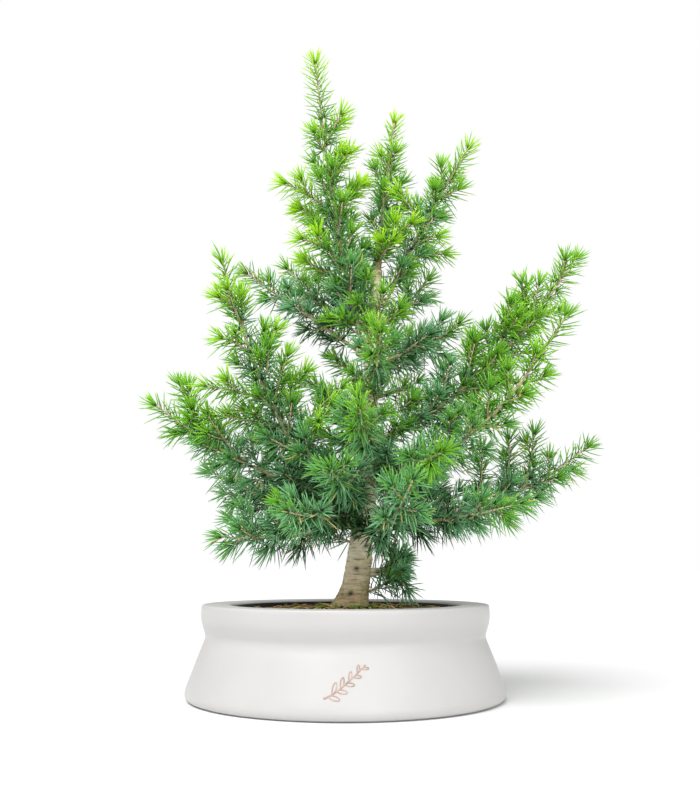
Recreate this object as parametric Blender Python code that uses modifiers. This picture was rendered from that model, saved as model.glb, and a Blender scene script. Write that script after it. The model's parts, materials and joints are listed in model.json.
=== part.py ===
"""Artificial tabletop cedar in a white ceramic pot, about 610 mm tall.

The pot stands on z = 0 with its axis on the Z axis. A black liner pot lifts out of it with the whole
tree. The liner holds a cast ballast, a flanged steel rod and a moulded soil cover. A bark-textured
trunk slides over the rod. Each branch is a wire stem with a moulded needle spray pushed on its end,
and hinges on a pin between two ears of the trunk. The leader plugs into the trunk's top.

Lengths in the tables are millimetres, and the scene is in metres. -Y is the front.
"""

import math

import bmesh
import bpy
from mathutils import Matrix, Vector

MM = 0.001
GAP = 0.35  # between pieces that touch or fit into each other

# Pot and what stands in it
POT_HEIGHT = 80.0
POT_RIM_RADIUS = 128.0
POT_NECK_RADIUS = 124.0
POT_NECK_HEIGHT = 54.0
POT_FOOT_RADIUS = 140.5
POT_WALL = 7.0
POT_FLOOR = 7.0
POT_MOUTH_RADIUS = 102.5  # the rim turns in over the liner's edge
POT_LIP_THICKNESS = 6.0
POT_STEPS = 36

LINER_RIM_RADIUS = 100.0
LINER_FOOT_RADIUS = 91.0
LINER_TOP = 78.0
LINER_WALL = 1.6
LINER_LIP = 3.0
LINER_STEPS = 28

BALLAST_TOP = 45.0
PLATE_RADIUS = 22.0
PLATE_THICKNESS = 3.0
NUT_RADIUS = 5.8
NUT_HEIGHT = 5.0
SOIL_RADIUS = 93.0
SOIL_EDGE_TOP = 74.0
SOIL_MOUND_TOP = 77.0
SOIL_THICKNESS = 3.0
SOIL_STEPS = 28

# Trunk: height, sideways position and radius of each section
TRUNK_SECTIONS = (
    (46.0, 9.0, 19.0),
    (80.0, 9.0, 18.0),
    (88.0, 9.5, 14.5),
    (98.0, 10.5, 12.4),
    (127.0, 14.0, 11.4),
    (150.0, 17.0, 10.2),
    (201.0, 20.5, 8.8),
    (250.0, 22.0, 7.6),
    (300.0, 24.0, 6.6),
    (350.0, 27.0, 5.8),
    (394.0, 30.0, 5.0),
)
TRUNK_BEVEL = 3  # bevel resolution: ten sides
ROD_RADIUS = 3.0
ROD_TOP = 300.0
SPIGOT_RADIUS = 1.8
SPIGOT_DEPTH = 12.0

# Hinge between the trunk and a stem
PIVOT_OUT = 5.6  # from the trunk's surface to the hinge axis
EAR_THICKNESS = 2.0
EAR_HEIGHT = 7.4
EAR_REACH = 3.4  # past the hinge axis
SLOT_WIDTH = 3.9
KNUCKLE_RADIUS = 3.2
KNUCKLE_WIDTH = 3.2
PIN_RADIUS = 1.1
PIN_HOLE_RADIUS = 1.65

# Stem and spray, as shares of the branch's length
STEM_STATIONS = (0.3, 0.4, 0.5, 0.6)
STEM_NECK = 7.5
STEM_NECK_RADIUS = 1.5
STEM_TAPER = 0.6
SPRAY_STATIONS = ((0.3, 4.6), (0.42, 7.4), (0.62, 7.6), (0.82, 6.6), (0.97, 4.8))
SPRAY_TIP = 9.0  # past the end of the branch's line
SPRAY_TIP_RADIUS = 1.8
TWIG_FIRST, TWIG_LAST = 0.42, 0.84
TWIG_ANGLE = math.radians(52)
TWIG_LIFT = 0.12
TWIG_RADII = (5.2, 6.4, 2.6)

# name, socket height, tip (x, y, z), sag of the line below its chord, stem radius, twigs, twig length
BRANCHES = (
    ("left_leader", 322, (-27, -24, 598), 24, 2.6, 5, 52),
    ("right_leader", 362, (116, -16, 512), -6, 2.4, 4, 42),
    ("upper_left", 338, (-62, 48, 402), 6, 1.9, 3, 32),
    ("left_high", 312, (-94, -8, 386), 4, 2.2, 4, 40),
    ("left_sweep", 192, (-103, -62, 374), 55, 2.8, 5, 52),
    ("left_long", 176, (-172, -40, 252), 16, 2.6, 5, 56),
    ("left_low", 164, (-126, 54, 178), 2, 2.2, 4, 44),
    ("left_bottom", 152, (-114, -44, 133), 8, 2.2, 4, 42),
    ("front_left", 160, (-44, -128, 154), 4, 2.1, 3, 38),
    ("front_low_left", 180, (-12, -122, 188), 6, 2.1, 3, 36),
    ("front_mid_left", 220, (12, -128, 236), 8, 2.2, 4, 40),
    ("front_top", 290, (30, -98, 306), 6, 2.0, 3, 34),
    ("right_short", 344, (82, 30, 394), 4, 1.9, 3, 32),
    ("right_high", 306, (108, 2, 341), 6, 2.1, 3, 36),
    ("right_sweep", 230, (220, -12, 396), 24, 2.9, 5, 58),
    ("right_long", 200, (194, -78, 324), 34, 2.8, 5, 58),
    ("right_wide", 164, (234, 42, 226), 28, 2.6, 5, 54),
    ("right_low", 150, (150, -84, 158), 6, 2.2, 4, 44),
    ("front_right", 144, (52, -146, 178), 14, 2.3, 4, 42),
    ("front_mid_right", 206, (76, -130, 200), 6, 2.1, 3, 38),
    ("right_sprig", 108, (60, 20, 126), 2, 1.7, 2, 24),
    ("back_left", 178, (-62, 130, 192), 8, 2.3, 4, 46),
    ("back_right", 188, (98, 118, 208), 8, 2.3, 4, 46),
    ("back_middle", 236, (8, 128, 272), 10, 2.2, 4, 42),
    ("back_high", 292, (66, 78, 352), 8, 2.0, 3, 36),
)
LEADER_TIP = (44.0, 0.0, 540.0)
LEADER_SAG = 0.0
LEADER_RADIUS = 3.2
LEADER_TWIGS = 4
LEADER_TWIG_LENGTH = 34.0

COLOURS = {
    "pot": ((0.86, 0.85, 0.84), 0.45, 0.0),
    "liner": ((0.03, 0.03, 0.035), 0.6, 0.0),
    "ballast": ((0.62, 0.6, 0.56), 0.9, 0.0),
    "steel": ((0.62, 0.62, 0.63), 0.35, 1.0),
    "soil": ((0.05, 0.04, 0.03), 0.95, 0.0),
    "bark": ((0.38, 0.33, 0.25), 0.85, 0.0),
    "stem": ((0.42, 0.33, 0.2), 0.8, 0.0),
    "needles": ((0.12, 0.34, 0.14), 0.55, 0.0),
}


# ---------------------------------------------------------------- scene and materials


def clear_scene():
    for obj in list(bpy.data.objects):
        bpy.data.objects.remove(obj, do_unlink=True)


def make_collection(name):
    made = bpy.data.collections.new(name)
    bpy.context.scene.collection.children.link(made)
    return made


def material(name):
    found = bpy.data.materials.get(name)
    if found:
        return found
    colour, roughness, metallic = COLOURS[name]
    made = bpy.data.materials.new(name)
    made.use_nodes = True
    shader = made.node_tree.nodes["Principled BSDF"]
    shader.inputs["Base Color"].default_value = (*colour, 1.0)
    shader.inputs["Roughness"].default_value = roughness
    shader.inputs["Metallic"].default_value = metallic
    made.diffuse_color = (*colour, 1.0)
    return made


def add_part(name, mesh, material_name):
    obj = bpy.data.objects.new(name, mesh)
    mesh.materials.clear()
    mesh.materials.append(material(material_name))
    mesh.shade_smooth()
    mesh.set_sharp_from_angle(angle=math.radians(35))
    PARTS.objects.link(obj)
    return obj


def drop(obj):
    bpy.data.objects.remove(obj, do_unlink=True)


# ---------------------------------------------------------------- shapes


def evaluated_mesh(obj):
    """The object's evaluated mesh in world space, with a curve's caps welded to its sides."""
    bpy.context.view_layer.update()
    graph = bpy.context.evaluated_depsgraph_get()
    mesh = bpy.data.meshes.new_from_object(obj.evaluated_get(graph))
    mesh.transform(obj.matrix_world)
    bm = bmesh.new()
    bm.from_mesh(mesh)
    bmesh.ops.remove_doubles(bm, verts=bm.verts, dist=0.01 * MM)
    bmesh.ops.recalc_face_normals(bm, faces=bm.faces)
    bm.to_mesh(mesh)
    bm.free()
    return mesh


def turned(name, profile, steps, centre=(0.0, 0.0)):
    """A mesh turned about a vertical axis. The profile is (radius, height), inner side up, outer side down."""
    mesh = bpy.data.meshes.new(name)
    points = [(r * MM, 0.0, z * MM) for r, z in profile]
    closed = profile[0][0] > 0
    edges = [(i, i + 1) for i in range(len(points) - 1)]
    if closed:
        edges.append((len(points) - 1, 0))
    mesh.from_pydata(points, edges, [])
    obj = bpy.data.objects.new(name, mesh)
    CUTTERS.objects.link(obj)
    obj.location = (centre[0] * MM, centre[1] * MM, 0.0)
    screw = obj.modifiers.new("turn", "SCREW")
    screw.steps = screw.render_steps = steps
    screw.use_merge_vertices = True
    screw.merge_threshold = 0.00001
    made = evaluated_mesh(obj)
    drop(obj)
    return made


def tube(points, radii, bevel_resolution=1):
    """A round tube along points (metres) with a radius (millimetres) at each, as an object with a mesh."""
    data = bpy.data.curves.new("tube", "CURVE")
    data.dimensions = "3D"
    data.bevel_depth = MM
    data.bevel_resolution = bevel_resolution
    data.use_fill_caps = True
    spline = data.splines.new("POLY")
    spline.points.add(len(points) - 1)
    for knot, place, radius in zip(spline.points, points, radii):
        knot.co = (*place, 1.0)
        knot.radius = radius
    curve = bpy.data.objects.new("tube", data)
    CUTTERS.objects.link(curve)
    obj = bpy.data.objects.new("tube_mesh", evaluated_mesh(curve))
    CUTTERS.objects.link(obj)
    drop(curve)
    return obj


def bar(centre, axis, radius, length, sides):
    """A short round bar about an axis, as an object with a mesh."""
    bm = bmesh.new()
    bmesh.ops.create_cone(
        bm,
        cap_ends=True,
        segments=sides,
        radius1=radius * MM,
        radius2=radius * MM,
        depth=length * MM,
    )
    return placed(bm, Matrix.Translation(centre) @ axis.to_track_quat("Z", "Y").to_matrix().to_4x4())


def upright(x, radius, bottom, top, sides):
    """A bar standing between two heights (millimetres), with its axis at x (metres)."""
    return bar(Vector((x, 0, (bottom + top) / 2 * MM)), Vector((0, 0, 1)), radius, top - bottom, sides)


def copied(obj):
    made = obj.copy()
    made.data = obj.data.copy()
    CUTTERS.objects.link(made)
    return made


def block(centre, out, side, size):
    """A box whose length runs outwards and whose thickness runs sideways, as an object with a mesh."""
    bm = bmesh.new()
    bmesh.ops.create_cube(bm, size=1.0)
    bmesh.ops.scale(bm, vec=[s * MM for s in size], verts=bm.verts)
    turn = Matrix((out, side, Vector((0, 0, 1)))).transposed().to_4x4()
    return placed(bm, Matrix.Translation(centre) @ turn)


def placed(bm, matrix):
    bm.transform(matrix)
    bm.normal_update()
    bmesh.ops.recalc_face_normals(bm, faces=bm.faces)
    mesh = bpy.data.meshes.new("piece")
    bm.to_mesh(mesh)
    bm.free()
    obj = bpy.data.objects.new("piece", mesh)
    CUTTERS.objects.link(obj)
    return obj


def combined(base, others, operation):
    """The mesh of base joined with, or cut by, each of the others in turn."""
    for other in others:
        modifier = base.modifiers.new(operation, "BOOLEAN")
        modifier.operation = operation
        modifier.solver = "EXACT"
        modifier.object = other
    mesh = evaluated_mesh(base)
    for obj in [base, *others]:
        drop(obj)
    return mesh


def combined_object(base, others, operation):
    obj = bpy.data.objects.new("combined", combined(base, others, operation))
    CUTTERS.objects.link(obj)
    return obj


# ---------------------------------------------------------------- the tree's lines


def trunk_at(height):
    """Centre (metres) and radius (millimetres) of the trunk at a height in millimetres."""
    for low, high in zip(TRUNK_SECTIONS, TRUNK_SECTIONS[1:]):
        if height <= high[0]:
            break
    share = (height - low[0]) / (high[0] - low[0])
    x = low[1] + share * (high[1] - low[1])
    radius = low[2] + share * (high[2] - low[2])
    return Vector((x, 0.0, height)) * MM, radius


class Line:
    """A branch's centre line: a parabola from its pivot to its tip, sagging below the chord."""

    def __init__(self, pivot, tip, sag):
        self.start, self.end, self.sag = pivot, tip, sag * MM

    def at(self, share):
        drop_below = 4 * self.sag * share * (1 - share)
        return self.start.lerp(self.end, share) - Vector((0, 0, drop_below))

    def along(self, share):
        slope = 4 * self.sag * (1 - 2 * share)
        return (self.end - self.start - Vector((0, 0, slope))).normalized()

    def share_of(self, distance):
        """The share of the line at a distance (millimetres) from its start."""
        return distance * MM / (self.end - self.start - Vector((0, 0, 4 * self.sag))).length


def socket_of(height, tip):
    """The hinge's centre, the level direction outwards and the hinge axis that raises the branch."""
    centre, radius = trunk_at(height)
    out = Vector((tip[0] * MM - centre.x, tip[1] * MM - centre.y, 0.0)).normalized()
    pivot = centre + out * (radius + PIVOT_OUT) * MM
    return pivot, out, Vector((out.y, -out.x, 0.0))


# ---------------------------------------------------------------- pot, liner and filling


def make_pot():
    inner_floor = POT_FOOT_RADIUS - POT_WALL - 4
    lip_bottom = POT_HEIGHT - POT_LIP_THICKNESS
    profile = [
        (0, POT_FLOOR),
        (inner_floor, POT_FLOOR),
        (POT_FOOT_RADIUS - POT_WALL - 1, POT_FLOOR + 5),
        (POT_NECK_RADIUS - POT_WALL, POT_NECK_HEIGHT - 6),
        (POT_NECK_RADIUS - POT_WALL, POT_NECK_HEIGHT + 2),
        (POT_RIM_RADIUS - POT_WALL, lip_bottom - 4),
        (POT_RIM_RADIUS - POT_WALL - 3, lip_bottom),
        (POT_MOUTH_RADIUS + 1.5, lip_bottom),
        (POT_MOUTH_RADIUS, lip_bottom + 1.5),
        (POT_MOUTH_RADIUS, POT_HEIGHT - 1.5),
        (POT_MOUTH_RADIUS + 1.5, POT_HEIGHT),
        (POT_RIM_RADIUS - 2, POT_HEIGHT),
        (POT_RIM_RADIUS, POT_HEIGHT - 2),
        (POT_RIM_RADIUS + 0.3, POT_HEIGHT - 10),
        (POT_RIM_RADIUS - 1.3, POT_HEIGHT - 18),
        (POT_NECK_RADIUS, POT_NECK_HEIGHT),
        (POT_NECK_RADIUS + 2.5, POT_NECK_HEIGHT - 8),
        (POT_FOOT_RADIUS - 5.2, 22),
        (POT_FOOT_RADIUS, 7),
        (POT_FOOT_RADIUS - 1.2, 2.5),
        (POT_FOOT_RADIUS - 5, 0),
        (0, 0),
    ]
    add_part("ceramic_pot", turned("pot", profile, POT_STEPS), "pot")


def make_liner():
    foot = POT_FLOOR + GAP
    profile = [
        (0, foot + LINER_WALL),
        (LINER_FOOT_RADIUS - LINER_WALL, foot + LINER_WALL),
        (LINER_RIM_RADIUS - LINER_LIP - LINER_WALL, LINER_TOP - 6),
        (LINER_RIM_RADIUS - LINER_WALL, LINER_TOP - 4),
        (LINER_RIM_RADIUS - LINER_WALL, LINER_TOP),
        (LINER_RIM_RADIUS, LINER_TOP),
        (LINER_RIM_RADIUS, LINER_TOP - 5),
        (LINER_RIM_RADIUS - LINER_LIP, LINER_TOP - 7),
        (LINER_FOOT_RADIUS, foot),
        (0, foot),
    ]
    add_part("liner_pot", turned("liner", profile, LINER_STEPS), "liner")


def make_ballast():
    """Anchor plate and nut on the rod's foot, and the cast ballast around them."""
    x = TRUNK_SECTIONS[0][1] * MM
    up = Vector((0, 0, 1))
    floor = POT_FLOOR + 2 * GAP + LINER_WALL
    plate_top = floor + PLATE_THICKNESS
    nut_bottom = plate_top + GAP
    nut_top = nut_bottom + NUT_HEIGHT
    rod_bore = bar(Vector((x, 0, floor * MM)), up, ROD_RADIUS + GAP, 4 * BALLAST_TOP, 12)
    plate = upright(x, PLATE_RADIUS, floor, plate_top, 20)
    add_part("anchor_plate", combined(plate, [copied(rod_bore)], "DIFFERENCE"), "steel")
    nut = upright(x, NUT_RADIUS, nut_bottom, nut_top, 6)
    add_part("anchor_nut", combined(nut, [copied(rod_bore)], "DIFFERENCE"), "steel")
    recesses = [
        upright(x, PLATE_RADIUS + 1, floor - 1, nut_bottom, 20),
        upright(x, NUT_RADIUS + 1, floor - 1, nut_top + GAP, 12),
        rod_bore,
    ]
    block_radius = LINER_FOOT_RADIUS - LINER_WALL - 1
    body = upright(0, block_radius, floor, BALLAST_TOP, LINER_STEPS)
    add_part("ballast", combined(body, recesses, "DIFFERENCE"), "ballast")


def make_rod():
    heights = [BALLAST_TOP, 80, 98, 127, 150, 201, 250, ROD_TOP]
    points = [trunk_at(max(h, TRUNK_SECTIONS[0][0]))[0] for h in heights]
    points[0].z = (POT_FLOOR + 2 * GAP + LINER_WALL) * MM
    rod = tube(points, [ROD_RADIUS] * len(points), 1)
    add_part("trunk_rod", evaluated_mesh(rod), "steel")
    drop(rod)


def soil_solid(inset):
    """The cover's outer shape, or the hollow under it when it is inset by the cover's thickness."""
    bottom = BALLAST_TOP + GAP - inset
    profile = [
        (0, SOIL_MOUND_TOP - inset),
        (26, SOIL_MOUND_TOP - inset),
        (45, SOIL_MOUND_TOP - 1 - inset),
        (70, SOIL_EDGE_TOP + 0.8 - inset),
        (SOIL_RADIUS - inset, SOIL_EDGE_TOP - inset),
        (SOIL_RADIUS - inset, SOIL_EDGE_TOP - 3 - inset),
        (LINER_FOOT_RADIUS - 1 - inset, bottom),
        (0, bottom),
    ]
    solid = bpy.data.objects.new("soil_solid", turned("soil", profile, SOIL_STEPS))
    CUTTERS.objects.link(solid)
    return solid


def make_soil():
    """Moulded shell, mounded towards the trunk, with a hole that the trunk's foot stands in."""
    foot = TRUNK_SECTIONS[0][2] + 2 * GAP
    hole = upright(TRUNK_SECTIONS[0][1] * MM, foot, BALLAST_TOP, SOIL_MOUND_TOP + 5, 20)
    cutters = [soil_solid(SOIL_THICKNESS), hole]
    add_part("soil_cover", combined(soil_solid(0), cutters, "DIFFERENCE"), "soil")


# ---------------------------------------------------------------- trunk and leader


def ears_of(row):
    """Two ears that reach from inside the trunk past the hinge axis, on each side of the slot."""
    height, tip = row[1], row[2]
    pivot, out, axis = socket_of(height, tip)
    length = PIVOT_OUT + EAR_REACH + 2
    middle = pivot + out * (EAR_REACH - length / 2) * MM
    aside = (SLOT_WIDTH + EAR_THICKNESS) / 2 * MM
    return [
        block(middle + axis * aside * way, out, axis, (length, EAR_THICKNESS, EAR_HEIGHT))
        for way in (-1, 1)
    ]


def pin_hole_of(row):
    pivot, _, axis = socket_of(row[1], row[2])
    return bar(pivot, axis, PIN_HOLE_RADIUS, SLOT_WIDTH + 2 * EAR_THICKNESS + 2, 6)


def make_trunk():
    points = [Vector((x, 0, z)) * MM for z, x, _ in TRUNK_SECTIONS]
    bole = tube(points, [r for _, _, r in TRUNK_SECTIONS], TRUNK_BEVEL)
    ears = [ear for row in BRANCHES for ear in ears_of(row)]
    joined = combined_object(bole, ears, "UNION")
    heights = [30, 46, 80, 98, 127, 150, 201, 250, ROD_TOP + 2]
    line = [trunk_at(max(h, TRUNK_SECTIONS[0][0]))[0] for h in heights]
    line[0].z = heights[0] * MM
    bore = tube(line, [ROD_RADIUS + 2 * GAP] * len(line), 1)
    top, _ = trunk_at(TRUNK_SECTIONS[-1][0])
    lean = (points[-1] - points[-2]).normalized()
    spigot_hole = bar(top, lean, SPIGOT_RADIUS + GAP, 2 * SPIGOT_DEPTH, 8)
    cutters = [bore, spigot_hole, *[pin_hole_of(row) for row in BRANCHES]]
    add_part("trunk", combined(joined, cutters, "DIFFERENCE"), "bark")


def make_leader():
    top, radius = trunk_at(TRUNK_SECTIONS[-1][0])
    below, _ = trunk_at(TRUNK_SECTIONS[-2][0])
    lean = (top - below).normalized()
    start = top + lean * GAP * MM
    line = Line(start, Vector(LEADER_TIP) * MM, LEADER_SAG)
    radii = [LEADER_RADIUS * (1 - STEM_TAPER * s) for s in STEM_STATIONS]
    stem = tube(
        [start, *[line.at(s) for s in STEM_STATIONS]], [radius - 0.6, *radii], 1
    )
    spigot = tube([top - lean * (SPIGOT_DEPTH - 1) * MM, start + lean * 4 * MM], [SPIGOT_RADIUS - GAP] * 2, 1)
    add_part("leader_stem", combined(stem, [spigot], "UNION"), "stem")
    make_spray("leader", line, LEADER_RADIUS, LEADER_TWIGS, LEADER_TWIG_LENGTH)


# ---------------------------------------------------------------- branches


def stem_radius(girth, share):
    return girth * (1 - STEM_TAPER * share)


def make_stem(name, pivot, axis, line, girth):
    """Wire stem with a knuckle at its root and a pin through the knuckle."""
    neck = line.share_of(STEM_NECK)
    shares = [0.0, neck, 1.6 * neck, *STEM_STATIONS]
    radii = [STEM_NECK_RADIUS] * 2 + [stem_radius(girth, s) for s in shares[2:]]
    stem = tube([line.at(s) for s in shares], radii, 1)
    knuckle = bar(pivot, axis, KNUCKLE_RADIUS, KNUCKLE_WIDTH, 8)
    pin = bar(pivot, axis, PIN_RADIUS, SLOT_WIDTH + 2 * EAR_THICKNESS, 6)
    add_part(name + "_stem", combined(stem, [knuckle, pin], "UNION"), "stem")


def twigs_of(line, count, length):
    """Start, tip and length share of each side twig, left and right in turn along the spray."""
    for k in range(count):
        share = TWIG_FIRST + (TWIG_LAST - TWIG_FIRST) * k / max(count - 1, 1)
        along = line.along(share)
        side = along.cross(Vector((0, 0, 1))).normalized() * (1 if k % 2 else -1)
        up = side.cross(along) * (1 if k % 2 else -1)
        way = along * math.cos(TWIG_ANGLE) + side * math.sin(TWIG_ANGLE) + up * TWIG_LIFT
        reach = length * (1 - 0.45 * k / max(count - 1, 1)) * MM
        start = line.at(share)
        yield start, start + way.normalized() * reach


def make_spray(name, line, girth, count, length):
    """Moulded needle spray: a sleeve and its twigs as one body, bored for the end of the stem."""
    along = line.along(1.0)
    points = [line.at(s) for s, _ in SPRAY_STATIONS] + [line.at(1.0) + along * SPRAY_TIP * MM]
    radii = [r for _, r in SPRAY_STATIONS] + [SPRAY_TIP_RADIUS]
    sleeve = tube(points, radii, 1)
    lobes = [
        tube([start, start.lerp(tip, 0.55), tip], TWIG_RADII, 0)
        for start, tip in twigs_of(line, count, length)
    ]
    body = combined_object(sleeve, lobes, "UNION")
    low = line.at(STEM_STATIONS[0]) - line.along(STEM_STATIONS[0]) * 3 * MM
    high = line.at(STEM_STATIONS[-1]) + line.along(STEM_STATIONS[-1]) * 2 * GAP * MM
    shares = [STEM_STATIONS[0], *STEM_STATIONS, STEM_STATIONS[-1]]
    flat_to_corner = 1 / math.cos(math.pi / 6)
    radii = [(stem_radius(girth, s) + GAP) * flat_to_corner for s in shares]
    bore = tube([low, *[line.at(s) for s in STEM_STATIONS], high], radii, 1)
    add_part(name + "_spray", combined(body, [bore], "DIFFERENCE"), "needles")


def make_branch(row):
    name, height, tip, sag, girth, twigs, twig_length = row
    pivot, _, axis = socket_of(height, tip)
    line = Line(pivot, Vector(tip) * MM, sag)
    make_stem(name, pivot, axis, line, girth)
    make_spray(name, line, girth, twigs, twig_length)


clear_scene()
PARTS = make_collection("tabletop_cedar")
CUTTERS = make_collection("cutters")
make_pot()
make_liner()
make_ballast()
make_rod()
make_soil()
make_trunk()
make_leader()
for branch in BRANCHES:
    make_branch(branch)
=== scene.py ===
import json
import math
from collections import namedtuple

import bpy
import numpy as np
from bpy.props import FloatProperty, FloatVectorProperty, IntProperty, PointerProperty
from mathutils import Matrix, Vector, noise


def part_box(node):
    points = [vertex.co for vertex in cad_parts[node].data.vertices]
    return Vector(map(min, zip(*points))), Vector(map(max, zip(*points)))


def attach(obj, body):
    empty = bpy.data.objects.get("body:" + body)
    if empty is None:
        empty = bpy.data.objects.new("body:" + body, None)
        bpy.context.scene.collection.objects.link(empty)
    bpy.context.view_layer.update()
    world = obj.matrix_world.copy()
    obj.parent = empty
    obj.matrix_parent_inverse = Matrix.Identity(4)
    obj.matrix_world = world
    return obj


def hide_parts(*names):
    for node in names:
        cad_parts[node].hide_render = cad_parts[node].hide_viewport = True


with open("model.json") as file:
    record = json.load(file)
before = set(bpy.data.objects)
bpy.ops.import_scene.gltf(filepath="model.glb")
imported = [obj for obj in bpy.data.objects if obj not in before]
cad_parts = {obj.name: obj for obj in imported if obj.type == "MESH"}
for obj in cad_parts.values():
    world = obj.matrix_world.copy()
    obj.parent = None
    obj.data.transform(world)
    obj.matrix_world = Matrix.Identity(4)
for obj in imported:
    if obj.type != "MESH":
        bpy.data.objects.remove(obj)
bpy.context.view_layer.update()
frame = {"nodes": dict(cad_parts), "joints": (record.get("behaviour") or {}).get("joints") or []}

bl_info = {
    "name": "Tabletop Cedar",
    "version": (1, 0, 0),
    "blender": (4, 5, 0),
    "location": "3D Viewport > Sidebar > Cedar",
    "description": "Dresses the frame of an artificial tabletop cedar: needles, bark, soil and ceramic pot",
    "category": "Object",
}

MM = 0.001
GOLDEN_ANGLE = math.radians(137.5)
UP = np.array((0.0, 0.0, 1.0))
JOINTS = {joint["name"]: joint for joint in frame["joints"]}


# ---- the tree's own sizes

# Each branch, in millimetres: its end, the sag of its line below its chord, the radius of its stem at the
# root, and its longest twig. Then how young its needles are, from 0, old and dark, to 1, fresh and yellow,
# and how much younger they are at its tip.
Branch = namedtuple("Branch", "name tip sag girth twig youth fresh")
BRANCHES = [Branch(*row) for row in (
    ("left_leader", (-30, -24, 598), 27, 2.6, 28, 0.50, 0.33),
    ("right_leader", (119, -16, 512), -6, 2.4, 22, 0.48, 0.30),
    ("upper_left", (-60, 48, 412), 6, 1.9, 28, 0.34, 0.22),
    ("left_high", (-94, -8, 388), 0, 2.2, 19, 0.28, 0.16),
    ("left_sweep", (-110, -62, 380), 58, 2.8, 36, 0.36, 0.32),
    ("left_long", (-169, -40, 254), 14, 2.6, 38, 0.32, 0.24),
    ("left_low", (-118, 54, 183), 0, 2.2, 36, 0.24, 0.10),
    ("left_bottom", (-108, -44, 138), 6, 2.2, 34, 0.24, 0.10),
    ("front_left", (-44, -128, 154), 4, 2.1, 31, 0.24, 0.04),
    ("front_low_left", (-12, -122, 188), 6, 2.1, 30, 0.30, 0.05),
    ("front_mid_left", (12, -128, 236), 8, 2.2, 33, 0.42, 0.05),
    ("front_top", (30, -98, 306), 6, 2.0, 30, 0.42, 0.07),
    ("right_short", (82, 30, 394), 4, 1.9, 24, 0.36, 0.14),
    ("right_high", (108, 2, 341), 6, 2.1, 34, 0.36, 0.12),
    ("right_sweep", (219, -12, 401), 24, 2.9, 42, 0.62, -0.04),
    ("right_long", (191, -78, 326), 34, 2.8, 34, 0.58, -0.06),
    ("right_wide", (236, 42, 228), 26, 2.6, 36, 0.35, 0.10),
    ("right_low", (145, -84, 163), 3, 2.2, 27, 0.3, 0.08),
    ("front_right", (52, -146, 178), 14, 2.3, 36, 0.28, 0.05),
    ("front_mid_right", (76, -130, 200), 6, 2.1, 31, 0.42, 0.04),
    ("right_sprig", (50, 20, 124), 2, 1.7, 17, 0.22, 0.06),
    ("back_left", (-62, 130, 192), 8, 2.3, 46, 0.2, 0.10),
    ("back_right", (98, 118, 208), 8, 2.3, 46, 0.24, 0.12),
    ("back_middle", (8, 128, 272), 10, 2.2, 42, 0.34, 0.14),
    ("back_high", (66, 78, 352), 8, 2.0, 36, 0.4, 0.20),
)]
LEADER = Branch("leader", (48, 0, 547), 0, 4.2, 23, 0.5, 0.34)

# Long side twigs of a branch: share of its line where the twig starts, and the twig's end in millimetres
LONG_TWIGS = {
    "left_leader": (
        (0.64, (3, -20, 505)), (0.53, (17, -14, 474)), (0.53, (-57, -30, 470)), (0.46, (-45, 0, 455)),
        (0.36, (-41, -34, 413)), (0.26, (-41, 5, 404)), (0.76, (-4, -30, 541)),
    ),
    "right_leader": ((0.32, (86, -26, 418)), (0.22, (96, 8, 413)), (0.42, (50, -20, 465))),
    "left_sweep": (
        (0.86, (-103, -78, 350)), (0.84, (-92, -58, 352)), (0.78, (-107, -75, 307)),
        (0.62, (-120, -70, 265)), (0.50, (-114, -50, 243)), (0.72, (-62, -50, 321)),
        (0.34, (-12, -66, 250)), (0.56, (-37, -30, 287)), (0.60, (-52, -46, 298)),
        (0.44, (-4, -30, 272)),
    ),
    "left_long": ((0.70, (-150, -30, 275)), (0.55, (-120, -58, 243))),
    "leader": ((0.06, (62, -24, 432)), (0.03, (44, -24, 414))),
    "right_wide": ((0.42, (130, 22, 222)), (0.55, (160, 44, 236)), (0.66, (181, 24, 238))),
    "right_sweep": (
        (0.40, (127, 10, 326)), (0.56, (152, -30, 352)), (0.70, (176, 8, 380)), (0.90, (206, -24, 396)),
    ),
    "right_sprig": ((0.10, (54, -24, 93)), (0.20, (49, 6, 104)), (0.45, (49, 34, 112))),
    "left_bottom": ((0.50, (-101, -20, 154)),),
    "left_low": ((0.60, (-132, 40, 203)),),
}

# Short shoots fixed to the trunk: height, angle round it in degrees, and length, in millimetres
TRUNK_SHOOTS = (
    (90, -8, 30), (104, 12, 34), (134, 196, 22), (142, 232, 26), (148, 180, 30),
    (156, 262, 24), (172, 250, 30), (184, 300, 28), (196, 215, 34), (206, 278, 26),
    (216, 170, 36), (226, 330, 34), (234, 255, 30), (243, 205, 44), (250, 350, 46),
    (257, 290, 28), (262, 180, 56), (268, 20, 44), (272, 238, 26), (278, 100, 38),
    (286, 160, 34), (318, 262, 26), (324, 200, 36), (330, 320, 30), (336, 100, 34),
    (342, 236, 24), (350, 285, 26), (356, 178, 38), (364, 250, 22), (372, 340, 32),
    (380, 200, 30), (388, 120, 28),
)

# Trunk: height, sideways position and radius of each section, in millimetres
TRUNK_SECTIONS = (
    (46.0, 3.5, 17.0), (74.0, 4.2, 15.8), (84.0, 6.4, 13.4), (98.0, 9.8, 12.1),
    (127.0, 13.4, 11.2), (150.0, 16.6, 10.2), (201.0, 20.5, 8.8), (250.0, 22.0, 7.6),
    (300.0, 24.0, 6.6), (350.0, 27.0, 5.8), (394.0, 30.0, 5.0),
)
# Knots in the bark: height in millimetres, and angle round the trunk in degrees
KNOTS = ((111, -98), (89, -104), (131, -62), (139, -124), (118, 20), (104, 150))


# ---- settings


def a_length(name, description, default):
    return FloatProperty(name=name, description=description, default=default, unit="LENGTH")


def a_colour(name, description, default):
    return FloatVectorProperty(name=name, description=description, default=default, subtype="COLOR")


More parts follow.
